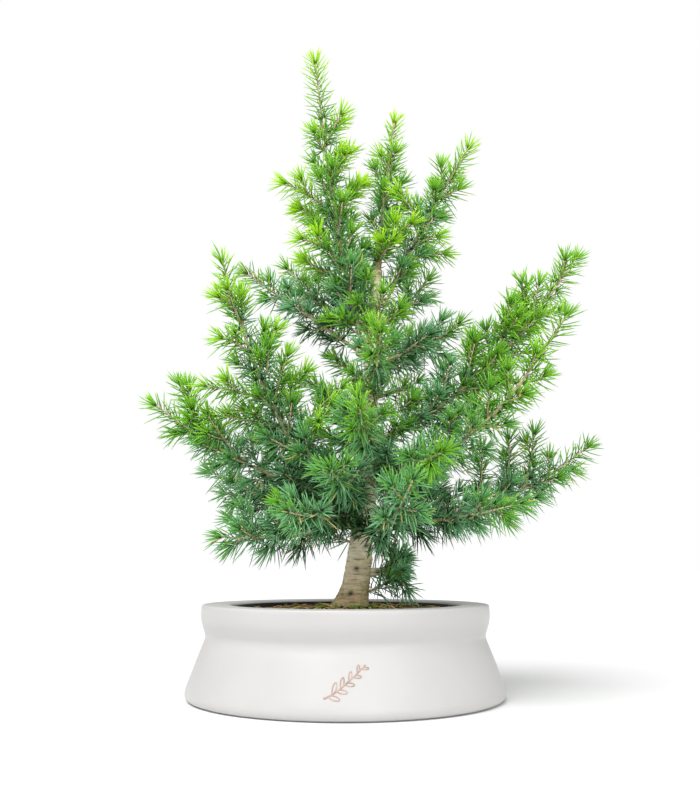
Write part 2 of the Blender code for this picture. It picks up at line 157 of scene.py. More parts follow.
class CedarNeedleSettings(bpy.types.PropertyGroup):
    length: a_length("Length", "Length of a full needle", 0.0178)
    thickness: a_length("Thickness", "Thickness of a needle", 0.00118)
    spacing: a_length("Needle spacing", "Way between single needles", 0.0008)
    spur_spacing: a_length("Tuft spacing", "Way between tufts on older wood", 0.005)
    tuft: IntProperty(name="Tuft", description="Needles in a tuft on older wood", default=10)
    crown: IntProperty(name="Crown", description="Needles at the tip of a shoot", default=15)
    spread: FloatProperty(
        name="Spread", description="Widest angle from a tuft's middle", default=1.12, subtype="ANGLE"
    )
    # The darkest stop: the oldest needles, and also the painted shade deep inside the crown
    oldest_and_shaded: a_colour("Old", "Oldest needles", (0.018, 0.068, 0.006))
    grown: a_colour("Grown", "Grown needles", (0.23, 0.54, 0.265))
    bright: a_colour("Bright", "Needles near a shoot's tip", (0.32, 0.7, 0.05))
    green: a_colour("Green", "This year's needles", (0.15, 0.43, 0.035))
    fresh: a_colour("Fresh", "Needles at the tips", (0.5, 0.86, 0.025))
    dry: a_colour("Dry", "Dried needles", (0.7, 0.58, 0.2))


class CedarWoodSettings(bpy.types.PropertyGroup):
    twig_spacing: a_length("Twig spacing", "Way along a branch between twigs", 0.0115)
    twig_radius: a_length("Twig radius", "Radius of a twig at its root", 0.0011)
    bark: a_colour("Bark", "Bark of the trunk", (0.98, 0.91, 0.69))
    streak: a_colour("Streak", "Dark streaks in the bark", (0.26, 0.18, 0.1))
    stem: a_colour("Stem", "Bark of the branches", (0.46, 0.34, 0.19))
    young: a_colour("Young stem", "Bark of the twigs", (0.84, 0.72, 0.44))


class CedarPotSettings(bpy.types.PropertyGroup):
    glaze: a_colour("Glaze", "Colour of the pot", (0.545, 0.536, 0.527))
    mark: a_colour("Mark", "Colour of the pressed sprig", (0.5, 0.36, 0.31))
    waver: a_length("Waver", "How far the wall strays from round", 0.0003)


class CedarSoilSettings(bpy.types.PropertyGroup):
    straw: IntProperty(name="Straw", description="Dry needles lying on the soil", default=240)
    moss: IntProperty(name="Moss", description="Moss tufts round the trunk's foot", default=12)
    crumbs: IntProperty(name="Crumbs", description="Loose crumbs on the soil", default=240)
    soil: a_colour("Soil", "Colour of the soil", (0.02, 0.015, 0.011))


class CedarStageSettings(bpy.types.PropertyGroup):
    floor: a_colour("Floor", "Colour of the floor", (0.86, 0.86, 0.86))
    sky: FloatProperty(name="Sky", description="Strength of the even light", default=0.55)
    key: FloatProperty(name="Key", description="Strength of the main light", default=2.75)
    fill: FloatProperty(name="Fill", description="Strength of the low front light", default=1.0)


# ---- mesh and node helpers


class Parts:
    """Points and faces collected for one mesh, with a tone and an along value on every point."""

    def __init__(self):
        self.points, self.faces, self.slots, self.tone, self.along = [], [], [], [], []
        self.count = 0

    def add(self, points, faces, tone=0.0, along=0.0, slot=0):
        points = np.asarray(points, float).reshape(-1, 3)
        for block in faces:
            block = np.asarray(block, int)
            self.faces.extend((block + self.count).tolist())
            self.slots.extend([slot] * len(block))
        self.points.append(points)
        self.tone.append(np.broadcast_to(tone, len(points)))
        self.along.append(np.broadcast_to(along, len(points)))
        self.count += len(points)

    def make(self, name, materials):
        mesh = bpy.data.meshes.new(name)
        mesh.from_pydata(np.concatenate(self.points).tolist(), [], self.faces)
        for label, values in (("tone", self.tone), ("along", self.along)):
            mesh.attributes.new(label, "FLOAT", "POINT").data.foreach_set("value", np.concatenate(values))
        for made in materials:
            mesh.materials.append(made)
        mesh.polygons.foreach_set("material_index", self.slots)
        mesh.shade_smooth()
        obj = bpy.data.objects.new(name, mesh)
        bpy.context.scene.collection.objects.link(obj)
        return obj


def unit(vectors):
    """The vectors, each brought to length 1."""
    vectors = np.asarray(vectors, float)
    return vectors / np.maximum(np.linalg.norm(vectors, axis=-1, keepdims=True), 1e-12)


def across(direction):
    """Two directions at right angles to a direction, and to each other."""
    helper = np.where(np.abs(direction[..., 2:3]) < 0.9, UP, np.array((1.0, 0.0, 0.0)))
    side = unit(np.cross(direction, helper))
    return side, np.cross(side, direction)


def circle(count):
    """Angles all the way round, evenly spaced."""
    return np.arange(count) / count * math.tau


def spun(angle, side, up):
    """Directions at angles from side towards up."""
    return np.cos(angle)[..., None] * side + np.sin(angle)[..., None] * up


def end_caps(rings, sides):
    """The two faces that close a tube of rings."""
    ring = np.arange(sides)[None]
    return [ring[:, ::-1], (rings - 1) * sides + ring]


def ring_faces(rings, sides):
    """Quads between rings of points that close on themselves."""
    i, j = np.meshgrid(np.arange(rings - 1), np.arange(sides), indexing="ij")
    k = (j + 1) % sides
    quads = np.stack([i * sides + j, i * sides + k, (i + 1) * sides + k, (i + 1) * sides + j], -1)
    return quads.reshape(-1, 4)


def frames_along(path):
    """Tangent, side and up at each point of a path, carried along without twisting."""
    tangents = unit(np.gradient(path, axis=0))
    side, _ = across(tangents[0])
    sides = [side]
    for tangent in tangents[1:]:
        side = unit(side - tangent * np.dot(side, tangent))
        sides.append(side)
    sides = np.array(sides)
    return tangents, sides, np.cross(tangents, sides)


def add_tube(parts, path, radii, sides, **values):
    """A closed round tube along a path."""
    path = np.asarray(path, float)
    _, side, up = frames_along(path)
    wheel = spun(circle(sides), side[:, None], up[:, None])
    radii = np.broadcast_to(radii, len(path))
    points = path[:, None] + wheel * radii[:, None, None]
    for key in ("tone", "along"):
        if key in values and np.ndim(values[key]):
            values[key] = np.repeat(values[key], sides)
    parts.add(points, [ring_faces(len(path), sides), *end_caps(len(path), sides)], **values)


def add_turned(parts, profile, segments, waver=None):
    """A closed turned body. The profile's points are (radius, height), and both its ends lie on the axis."""
    profile = np.asarray(profile, float)
    angle = circle(segments)
    radius = np.repeat(profile[1:-1, 0:1], segments, 1)
    height = np.repeat(profile[1:-1, 1:2], segments, 1)
    if waver is not None:
        radius = radius + waver(angle[None, :], height) * (radius > 0)
    points = np.stack([radius * np.cos(angle), radius * np.sin(angle), height], -1)
    rings = len(profile) - 2
    ends = np.array([(0.0, 0.0, profile[0, 1]), (0.0, 0.0, profile[-1, 1])])
    ring = np.arange(segments)
    after = np.roll(ring, -1)
    first = rings * segments
    end = first - segments
    fans = [
        np.stack([np.full(segments, first), after, ring], -1),
        np.stack([np.full(segments, first + 1), ring + end, after + end], -1),
    ]
    parts.add(np.concatenate([points.reshape(-1, 3), ends]), [ring_faces(rings, segments), *fans])


def rounded(points, passes=3):
    """The outline with its corners cut a few times over. Its two end points stay."""
    points = np.asarray(points, float)
    for _ in range(passes):
        a, b = points[:-1], points[1:]
        cut = np.stack([a * 0.75 + b * 0.25, a * 0.25 + b * 0.75], 1).reshape(-1, 2)
        points = np.concatenate([points[:1], cut, points[-1:]])
    return points


def fractal(points, scale, octaves=3, stretch=(1, 1, 1)):
    """Fractal noise, about -1 to 1, at each point."""
    places = np.asarray(points) * np.asarray(stretch) * scale
    return np.array([noise.fractal(Vector(p), 1.0, 2.0, octaves) for p in places])


def new_material(name, roughness=0.6, **values):
    """A material with a Principled shader. Further values set that shader's sockets by name."""
    made = bpy.data.materials.new(name)
    made.use_nodes = True
    shader = made.node_tree.nodes["Principled BSDF"]
    shader.inputs["Roughness"].default_value = roughness
    for key, value in values.items():
        shader.inputs[key.replace("_", " ")].default_value = value
    return made, made.node_tree, shader


def add_node(tree, kind, links=(), **settings):
    """A node with settings on its properties, and its sockets set from links: (socket, value or output)."""
    node = tree.nodes.new("ShaderNode" + kind)
    for key, value in settings.items():
        setattr(node, key, value)
    for socket, value in links:
        if isinstance(value, bpy.types.NodeSocket):
            tree.links.new(value, node.inputs[socket])
        else:
            node.inputs[socket].default_value = value
    return node


def ramp(tree, factor, stops):
    """Colour ramp with (position, colour) stops."""
    node = add_node(tree, "ValToRGB", [("Fac", factor)])
    elements = node.color_ramp.elements
    elements.remove(elements[1])
    elements[0].position = stops[0][0]
    elements[0].color = (*stops[0][1][:3], 1.0)
    for position, colour in stops[1:]:
        elements.new(position).color = (*colour[:3], 1.0)
    return node.outputs["Color"]


def mixed(tree, factor, a, b, kind="MIX"):
    """Mix of two colours, each a colour or an output."""
    node = tree.nodes.new("ShaderNodeMix")
    node.data_type = "RGBA"
    node.blend_type = kind
    for index, value in ((0, factor), (6, a), (7, b)):
        if isinstance(value, bpy.types.NodeSocket):
            tree.links.new(value, node.inputs[index])
        else:
            node.inputs[index].default_value = (*value[:3], 1.0) if index else value
    return node.outputs[2]


def object_noise(tree, scale, detail=4.0, stretch=(1, 1, 1), roughness=0.55):
    """Noise on the piece's own coordinates."""
    place = add_node(tree, "TexCoord").outputs["Object"]
    moved = add_node(tree, "Mapping", [("Vector", place), ("Scale", stretch)]).outputs["Vector"]
    links = [("Vector", moved), ("Scale", scale), ("Detail", detail), ("Roughness", roughness)]
    return add_node(tree, "TexNoise", links).outputs["Fac"]


def bumped(tree, shader, height, strength, distance):
    links = [("Height", height), ("Strength", strength), ("Distance", distance)]
    tree.links.new(add_node(tree, "Bump", links).outputs["Normal"], shader.inputs["Normal"])


def attribute(tree, name):
    return add_node(tree, "Attribute", attribute_name=name).outputs["Fac"]


def shade(colour, factor):
    return tuple(c * factor for c in colour)


def paint(tree, shader, colour):
    tree.links.new(colour, shader.inputs["Base Color"])


def speckled(name, roughness, pattern, stops, bump=None, **values):
    """A material whose colour, and whose bump if it has one, both follow one noise."""
    made, tree, shader = new_material(name, roughness, **values)
    height = object_noise(tree, *pattern)
    paint(tree, shader, ramp(tree, height, stops))
    if bump:
        bumped(tree, shader, height, *bump)
    return made


# ---- materials


def material(name):
    """The material of that name, made on first use. The frame's own materials have the bare names."""
    label = "cedar_" + name
    return bpy.data.materials.get(label) or MATERIAL_MAKERS[name](label)


def needle_material(name):
    """Old to fresh by tone. Each needle is dark at its foot and pale at its tip: painted shade where a
    tuft's needles crowd at their feet, and painted light, brighter than the needle's own colour, at its tip.
    """
    settings = bpy.context.scene.cedar_needles
    made, tree, shader = new_material(name, 0.55, Specular_IOR_Level=0.2)
    stops = [
        (0.0, settings.oldest_and_shaded),
        (0.28, settings.grown),
        (0.48, settings.green),
        (0.72, settings.bright),
        (0.92, settings.fresh),
        (0.93, settings.dry),
    ]
    colour = ramp(tree, attribute(tree, "tone"), stops)
    # Painted shade at each needle's foot, and painted light at its tip
    stops = [
        (0.0, (0.26, 0.3, 0.24)),
        (0.38, (0.9, 0.93, 0.88)),
        (0.75, (1.05, 1.05, 1.05)),
        (1.0, (1.35, 1.3, 1.2)),
    ]
    length = ramp(tree, attribute(tree, "along"), stops)
    paint(tree, shader, mixed(tree, 1.0, colour, length, "MULTIPLY"))
    return made


def stem_material(name):
    """Brown wood on thick stems, straw-coloured on young twigs, with small scars."""
    settings = bpy.context.scene.cedar_wood
    made, tree, shader = new_material(name, 0.72, Specular_IOR_Level=0.3)
    stops = [(0.0, settings.stem), (0.5, shade(settings.young, 0.75)), (1.0, settings.young)]
    base = ramp(tree, attribute(tree, "tone"), stops)
    scars = object_noise(tree, 420, 5.0)
    dark = ramp(tree, scars, [(0.38, (0.45, 0.4, 0.36)), (0.6, (1.0, 1.0, 1.0))])
    paint(tree, shader, mixed(tree, 0.8, base, dark, "MULTIPLY"))
    bumped(tree, shader, scars, 0.5, 0.0004)
    return made


def bark_material(name):
    """Grey-beige bark with level streaks, brown and mossy near the foot, and near-black knots."""
    settings = bpy.context.scene.cedar_wood
    made, tree, shader = new_material(name, 0.8, Specular_IOR_Level=0.25)
    streaks = object_noise(tree, 75, 9.0, (1, 1, 7), 0.72)
    stops = [(0.37, settings.streak), (0.43, shade(settings.bark, 0.75)), (0.52, settings.bark)]
    base = ramp(tree, streaks, stops)
    patches = object_noise(tree, 38, 3.0)
    pale = ramp(tree, patches, [(0.38, (0.86, 0.79, 0.66)), (0.58, (1.2, 1.2, 1.18))])
    colour = mixed(tree, 0.9, base, pale, "MULTIPLY")
    brown = ramp(tree, streaks, [(0.35, (0.12, 0.072, 0.035)), (0.58, (0.58, 0.41, 0.22))])
    near_foot = attribute(tree, "along")
    foot = mixed(tree, near_foot, colour, brown)
    moss = ramp(tree, object_noise(tree, 160, 4.0), [(0.57, (0.0, 0.0, 0.0)), (0.63, (1.0, 1.0, 1.0))])
    mossy = add_node(tree, "Math", [(0, moss), (1, near_foot)], operation="MULTIPLY").outputs[0]
    green = mixed(tree, mossy, foot, (0.4, 0.46, 0.12))
    paint(tree, shader, mixed(tree, attribute(tree, "tone"), green, (0.018, 0.011, 0.008)))
    bumped(tree, shader, object_noise(tree, 130, 8.0, (1, 1, 5), 0.7), 0.9, 0.0012)
    return made


def ceramic_material(name):
    """Matt white glaze, slightly warm and uneven."""
    settings = bpy.context.scene.cedar_pot
    looks = {"Specular_IOR_Level": 0.4, "Coat_Weight": 0.12, "Coat_Roughness": 0.3}
    made, tree, shader = new_material(name, 0.38, **looks)
    cloud = object_noise(tree, 14, 3.0)
    colour = ramp(tree, cloud, [(0.3, shade(settings.glaze, 0.965)), (0.7, shade(settings.glaze, 1.02))])
    specks = ramp(tree, object_noise(tree, 900, 2.0), [(0.24, (0.86, 0.84, 0.82)), (0.29, (1.0, 1.0, 1.0))])
    paint(tree, shader, mixed(tree, 0.6, colour, specks, "MULTIPLY"))
    bumped(tree, shader, object_noise(tree, 60, 5.0), 0.12, 0.001)
    return made


def mark_material(name):
    mark = bpy.context.scene.cedar_pot.mark
    return speckled(name, 0.6, (260, 3.0), [(0.35, shade(mark, 0.75)), (0.65, shade(mark, 1.2))])


def liner_material(name):
    """Black moulded plastic with a fine grain."""
    stops = [(0.3, (0.006, 0.006, 0.007)), (0.7, (0.016, 0.016, 0.018))]
    return speckled(name, 0.5, (700, 3.0), stops, (0.25, 0.0003), Specular_IOR_Level=0.4)


def soil_material(name):
    soil = bpy.context.scene.cedar_soil.soil
    stops = [(0.35, shade(soil, 0.4)), (0.52, soil), (0.68, (0.085, 0.055, 0.03))]
    pattern = (190, 9.0, (1, 1, 1), 0.7)
    return speckled(name, 0.95, pattern, stops, (1.0, 0.003), Specular_IOR_Level=0.2)


def litter_material(name):
    """Straw, crumbs and moss by tone: 0 dark straw, 0.5 pale straw, 1 moss."""
    made, tree, shader = new_material(name, 0.8, Specular_IOR_Level=0.25)
    stops = [
        (0.0, (0.16, 0.085, 0.035)),
        (0.3, (0.36, 0.22, 0.09)),
        (0.55, (0.62, 0.46, 0.2)),
        (0.7, (0.55, 0.48, 0.12)),
        (0.8, (0.12, 0.2, 0.03)),
        (1.0, (0.28, 0.42, 0.06)),
    ]
    paint(tree, shader, ramp(tree, attribute(tree, "tone"), stops))
    return made


def steel_material(name):
    """Steel, brushed lengthways."""
    stops = [(0.3, (0.42, 0.42, 0.43)), (0.7, (0.62, 0.62, 0.63))]
    return speckled(name, 0.35, (300, 4.0, (1, 1, 0.1)), stops, (0.1, 0.0002), Metallic=1.0)


def plaster_material(name):
    """Cast plaster with pores."""
    stops = [(0.3, (0.34, 0.32, 0.29)), (0.42, (0.58, 0.56, 0.52)), (0.8, (0.66, 0.64, 0.6))]
    return speckled(name, 0.9, (260, 6.0), stops, (0.6, 0.0008))


def floor_material(name):
    floor = bpy.context.scene.cedar_stage.floor
    stops = [(0.0, shade(floor, 0.995)), (1.0, floor)]
    return speckled(name, 0.9, (0.8, 2.0), stops, Specular_IOR_Level=0.1)


MATERIAL_MAKERS = {
    "needles": needle_material,
    "stem": stem_material,
    "bark": bark_material,
    "glaze": ceramic_material,
    "mark": mark_material,
    "liner": liner_material,
    "soil": soil_material,
    "litter": litter_material,
    "steel": steel_material,
    "plaster": plaster_material,
    "floor": floor_material,
}


def settle(obj, body, slot_name, *nodes):
    """Puts a finished piece on its body, in place of the CAD nodes it stands for."""
    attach(obj, body)
    if nodes:
        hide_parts(*nodes)
    return obj


# ---- needles

# Rings of a needle: share of its length, and share of its full thickness
NEEDLE_RINGS = ((0.0, 0.6), (0.3, 1.0), (0.76, 0.82))
NEEDLE_CORNERS = 3 * len(NEEDLE_RINGS) + 1
DRY_SHARE = 0.015  # share of the needles that have dried
DRY_TONE, FRESHEST_TONE = 1.0, 0.91
FOOT_OFFSET = 0.0003  # how far a tuft's needles stand from its middle


class Needles:
    """Needles collected for one branch: foot, direction, length, bend and tone of each."""

    def __init__(self, seed):
        self.random = np.random.default_rng(seed)
        self.rows = []

    def add(self, foot, way, reach, axis, youth):
        """Needles that set off in their own directions, curl a little towards an axis, and hang a little."""
        settings = bpy.context.scene.cedar_needles
        draw, count = self.random, len(way)
        below = np.maximum(0, -way[:, 2])
        length = settings.length * reach * draw.uniform(0.78, 1.12, count) * (1 + 0.18 * below)
        hang = draw.uniform(0.0, 0.14, count) * (1 + 0.8 * below)
        bend = draw.normal(0, 0.045, (count, 3)) + axis * draw.uniform(-0.02, 0.2, (count, 1))
        bend[:, 2] -= hang
        tone = np.clip(youth + draw.normal(0, 0.055, count), 0.0, FRESHEST_TONE)
        tone = np.where((draw.random(count) < DRY_SHARE) & (tone < 0.6), DRY_TONE, tone)
        self.rows.append(np.concatenate([foot, way, length[:, None], bend, tone[:, None]], 1))

    def tuft(self, foot, axis, count, youth, spread, reach=1.0):
        """A fan of needles round an axis."""
        draw = self.random
        side, up = across(axis)
        turn = np.arange(count) * GOLDEN_ANGLE + draw.uniform(0, math.tau)
        lean = spread * np.sqrt(draw.uniform(0.03, 1.0, count))
        around = spun(turn, side, up)
        self.add(foot + around * FOOT_OFFSET, spun(lean, axis, around), reach, axis, youth)

    def add_to(self, parts):
        """Each needle is a slender three-sided prism in three spans, closed, and bent along its length."""
        thickness = bpy.context.scene.cedar_needles.thickness
        rows = np.concatenate(self.rows)
        foot, way, length, bend, tone = np.split(rows, (3, 6, 7, 10), axis=1)
        side, up = across(way)
        count = len(rows)
        corners = []
        for share, width in NEEDLE_RINGS:
            middle = foot + way * length * share + bend * length * share**2
            for k in range(3):
                angle = k * math.tau / 3
                outward = side * math.cos(angle) + up * math.sin(angle)
                corners.append(middle + outward * width * thickness / 2)
        corners.append(foot + (way + bend) * length)
        points = np.stack(corners, 1)
        rings = len(NEEDLE_RINGS)
        base = (np.arange(count) * NEEDLE_CORNERS)[:, None]
        quads = [base + quad for quad in ring_faces(rings, 3)]
        last = 3 * (rings - 1)
        tips = [base + np.array((last + k, last + (k + 1) % 3, last + 3)) for k in range(3)]
        along = [share for share, _ in NEEDLE_RINGS for _ in range(3)] + [1.0]
        faces = [np.concatenate(quads), np.concatenate(tips), base + np.array((2, 1, 0))]
        parts.add(points, faces, tone=np.repeat(tone, NEEDLE_CORNERS), along=np.tile(along, count))


def palette_map(obj):
    """A map whose two directions are the place along a needle and its tone, which its colour depends on."""
    mesh = obj.data
    corner = np.zeros(len(mesh.loops), np.int32)
    mesh.loops.foreach_get("vertex_index", corner)
    values = {}
    for label in ("tone", "along"):
        values[label] = np.zeros(len(mesh.vertices), np.float32)
        mesh.attributes[label].data.foreach_get("value", values[label])
    width = (np.arange(len(mesh.vertices)) % NEEDLE_CORNERS % 3) * 0.006
    places = np.stack([0.02 + 0.96 * values["along"], 0.02 + 0.94 * values["tone"] + width], 1)
    layer = mesh.uv_layers.new(name="OFBake", do_init=False)
    layer.uv.foreach_set("vector", places[corner].astype(np.float32).ravel())


def settle_needles(needles, name, body, *nodes):
    """Makes the needles' own piece, and puts it on its body."""
    leaves = Parts()
    needles.add_to(leaves)
    made = leaves.make(name, [material("needles")])
    palette_map(made)
    settle(made, body, "needles", *nodes)


# ---- branches

YOUNG_REACH = 0.03  # a shoot's last stretch, where the needles stand singly
SPUR_LENGTH = 0.0014
STEM_YOUTH = 0.08  # how much younger the needles on a branch's own stem are than those on its twigs
LONG_ENOUGH = 0.03  # a twig at least this long has a second one on it
# Where a branch's needles and its twigs start, from its pivot; the thin stretch in its fork, and the most
# its radius is there; and how far its end may stand off its CAD spray
NEEDLES_START, TWIGS_START, FORK_STRETCH, FORK_GIRTH, SPRAY_SLACK = 14 * MM, 20 * MM, 9 * MM, 1.5, 12 * MM
# Profiles along a hinge's axis: place and radius, in millimetres
KNUCKLE = ((-1.6, 2.7), (-1.28, 3.15), (1.28, 3.15), (1.6, 2.7))
PIN = ((-4.0, 0.6), (-3.8, 1.05), (3.8, 1.05), (4.0, 0.6))


class Line:
    """A branch's centre line: a parabola from its pivot to its tip, sagging below the chord."""

    def __init__(self, start, tip, sag):
        self.start, self.end, self.sag = np.asarray(start, float), np.asarray(tip, float) * MM, sag * MM

    def at(self, share):
        share = np.asarray(share, float)[..., None]
        return self.start + (self.end - self.start) * share - UP * (4 * self.sag * share * (1 - share))

    def along(self, share):
        return unit(self.end - self.start - UP * (4 * self.sag * (1 - 2 * share)))

    def length(self):
        points = self.at(np.linspace(0, 1, 40))
        return float(np.linalg.norm(np.diff(points, axis=0), axis=1).sum())


def dress(needles, wood, path, root_radius, youth, first=0.0, fresh=0.2, age_and_shade=0.2):
    """Needles along a shoot: tufts on spurs on its older part, single ones nearer the tip, a brush at it."""
    settings = bpy.context.scene.cedar_needles
    draw = needles.random
    tangents, sides, ups = frames_along(path)
    travelled = np.concatenate([[0.0], np.cumsum(np.linalg.norm(np.diff(path, axis=0), axis=1))])
    total = travelled[-1]

    def at(places):
        rows = (path, tangents, sides, ups)
        return [np.stack([np.interp(places, travelled, row[:, k]) for k in range(3)], -1) for row in rows]

    reach = YOUNG_REACH * (1 + 2.4 * max(0.0, fresh))
    young = max(first, total - reach)
    spurs = np.arange(first, young, settings.spur_spacing)
    turn = draw.uniform(0, math.tau)
    for place in spurs + draw.uniform(-0.2, 0.2, len(spurs)) * settings.spur_spacing:
        foot, tangent, side, up = at(place)
        turn += GOLDEN_ANGLE + draw.normal(0, 0.3)
        outward = unit(math.cos(turn) * side + math.sin(turn) * up)
        lean = draw.uniform(0.3, 0.85)
        axis = unit(outward * math.cos(lean) + tangent * math.sin(lean))
        radius = root_radius * (1 - 0.6 * place / total)
        stub = [foot + outward * radius * 0.4, foot + outward * radius + axis * SPUR_LENGTH]
        add_tube(wood, stub, [0.0009, 0.0006], 5, tone=0.25)
        count = int(settings.tuft * draw.uniform(0.7, 1.3))
        # Tufts nearer the shoot's foot are darker: partly older needles, partly painted shade inside the
        # crown
        tone = youth - 0.05 - age_and_shade * (1 - place / total) + draw.normal(0, 0.05)
        needles.tuft(stub[1], axis, count, tone, settings.spread, draw.uniform(0.8, 1.05))

    places = np.arange(young, total, settings.spacing)
    places = places + draw.uniform(-0.5, 0.5, len(places)) * settings.spacing
    foot, tangent, side, up = at(places)
    left = np.clip((total - places) / reach, 0, 1)
    turn = np.arange(len(places)) * GOLDEN_ANGLE + draw.normal(0, 0.2, len(places))
    around = spun(turn, side, up)
    lean = 0.56 + 0.62 * left**0.5 + draw.normal(0, 0.2, len(places))
    way = unit(spun(lean, tangent, around))
    radius = root_radius * (1 - 0.6 * places / total)
    tone = youth + fresh * (1 - left) ** 1.2 - 0.04 * np.sin(turn) + draw.normal(0, 0.05, len(places))
    needles.add(foot + around * radius[:, None] * 0.8, way, 0.94 + 0.1 * left, tangent, tone)
    end, tip_tone = path[-1] - tangents[-1] * 0.001, youth + fresh * 1.15
    needles.tuft(end, tangents[-1], settings.crown, tip_tone, 0.72, 0.9)


def bent_path(start, way, length, pull, wiggle, draw, steps=7):
    """A twig's path: it sets off one way and is pulled another, with a little wiggle."""
    share = np.linspace(0, 1, steps)[:, None]
    path = start + way * length * share + pull * length * share**2
    side, up = across(way)
    wave = draw.normal(0, wiggle, 2)
    return path + (side * wave[0] + up * wave[1]) * length * np.sin(share * math.pi)


def grow_twig(path, radius, youth, out, needles, wood, fresh=0.16):
    """A side twig with its needles, and a second short one from it when it is long."""
    taper = 1 - 0.55 * np.linspace(0, 1, len(path))
    add_tube(wood, path, radius * taper, 6, tone=np.linspace(0.35, 1.0, len(path)))
    dress(needles, wood, path, radius, youth, 0.003, fresh)
    length = np.linalg.norm(path[-1] - path[0])
    if length > LONG_ENOUGH:
        draw = needles.random
        at = len(path) // 2
        forward = unit(path[at + 1] - path[at])
        across_way = unit(np.cross(forward, out)) * draw.choice((-1.0, 1.0))
        small = bent_path(path[at], unit(forward + across_way * 0.9), length * 0.42, UP * 0.1, 0.03, draw, 5)
        tone = np.linspace(0.6, 1.0, len(small))
        add_tube(wood, small, np.linspace(0.0008, 0.0005, len(small)), 6, tone=tone)
        dress(needles, wood, small, 0.0008, youth + 0.03, 0.002, fresh)


def grow_twigs(branch, line, first, needles, wood):
    """Side twigs all round the branch, longest at its sides, shorter above, below and towards its tip."""
    settings = bpy.context.scene.cedar_wood
    draw = needles.random
    count = max(3, int(line.length() * (1 - first) / settings.twig_spacing))
    upright = abs(line.along(0.5)[2])
    last = 0.95 - 0.18 * upright
    spin = draw.uniform(0, math.tau)
    for k in range(count):
        share = max(first, first + (last - first) * (k + draw.uniform(-0.2, 0.2)) / count)
        along = line.along(share)
        side = unit(np.cross(along, UP))
        above = np.cross(side, along)
        spin += GOLDEN_ANGLE + draw.normal(0, 0.25)
        out = side * math.cos(spin) + above * math.sin(spin)
        level = 1 - (1 - upright) * (0.22 if math.sin(spin) > 0 else 0.5) * abs(math.sin(spin))
        size = (1 - 0.6 * share**2.2) * (0.62 + 0.38 * min(1.0, share / 0.3))
        size = size * draw.uniform(0.72, 1.1) * level
        lean = draw.uniform(0.75, 1.05)
        way = unit(out * math.sin(lean) + along * math.cos(lean))
        pull = along * 0.2 + UP * draw.uniform(0.0, 0.18)
        path = bent_path(line.at(share), way, branch.twig * MM * size, pull, 0.03, draw)
        # Twigs nearer the trunk get darker needles: partly real age, partly painted shade inside the crown
        youth = branch.youth + 0.7 * (share - 0.7) + draw.normal(0, 0.035)
        fresh = 0.55 * branch.fresh + 0.05
        grow_twig(path, settings.twig_radius * (0.7 + 0.6 * size), youth, out, needles, wood, fresh)
    for share, tip in LONG_TWIGS.get(branch.name, ()):
        start, tip = line.at(share), np.array(tip) * MM
        way = unit(unit(tip - start) * 1.6 + line.along(share))
        length = np.linalg.norm(tip - start)
        places = np.linspace(0, 1, 9)[:, None]
        path = start + way * length * places + (tip - start - way * length) * places**1.6
        youth = branch.youth + 0.12 * (share - 0.4)
        grow_twig(path, settings.twig_radius * 1.35, youth, way, needles, wood, branch.fresh)


def add_hinge(wood, pivot, axis):
    """Knuckle disc with rounded edges, and the pin through it with domed ends."""
    for profile, sides, looks in ((KNUCKLE, 24, {"tone": 0.1}), (PIN, 14, {"slot": 1})):
        places, radii = np.array(profile).T * MM
        add_tube(wood, pivot + np.outer(places, unit(axis)), radii, sides, **looks)


def stem_path(line, draw, steps, wiggle):
    """Points and shares along a branch, with a little wiggle that dies away at its ends."""
    share = np.linspace(0, 1, steps)
    path = line.at(share)
    side = unit(np.cross(line.end - line.start, UP))
    above = np.cross(side, unit(line.end - line.start))
    fade = np.sin(share * math.pi) ** 0.7
    for way in (side, above):
        for beat in (3.0, 7.0):
            phase = draw.uniform(0, math.tau)
            path = path + way * (np.sin(share * beat * 2 + phase) * fade * wiggle / beat)[:, None]
    return path, share


def make_branch(branch, index):
    """A branch's wood with its hinge, and its needles, both riding on the branch's body."""
    joint = JOINTS[branch.name + "_hinge"]
    pivot = np.array(joint["pos_m"])
    line = Line(pivot, branch.tip, branch.sag)
    low, high = (np.array(corner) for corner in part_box(branch.name + "_spray"))
    if (line.end < low - SPRAY_SLACK).any() or (line.end > high + SPRAY_SLACK).any():
        raise RuntimeError(branch.name + " doesn't end in its CAD spray")
    needles, wood = Needles(index + 1), Parts()
    path, share = stem_path(line, needles.random, 46, 1.6 * MM)
    thickness = branch.girth * (0.92 - 0.62 * share)
    in_fork = share * line.length() < FORK_STRETCH
    thickness = np.where(in_fork, np.minimum(thickness, FORK_GIRTH), thickness)
    add_tube(wood, path, thickness * MM, 10, tone=share**0.8)
    add_hinge(wood, pivot, np.array(joint["axis"]))
    grow_twigs(branch, line, TWIGS_START / line.length(), needles, wood)
    youth = branch.youth + STEM_YOUTH
    dress(needles, wood, path, branch.girth * MM, youth, NEEDLES_START, branch.fresh, 0.28)
    made = wood.make(branch.name + "_wood", [material("stem"), material("steel")])
    settle(made, branch.name, "stem", branch.name + "_stem")
    settle_needles(needles, branch.name + "_needles", branch.name, branch.name + "_spray")


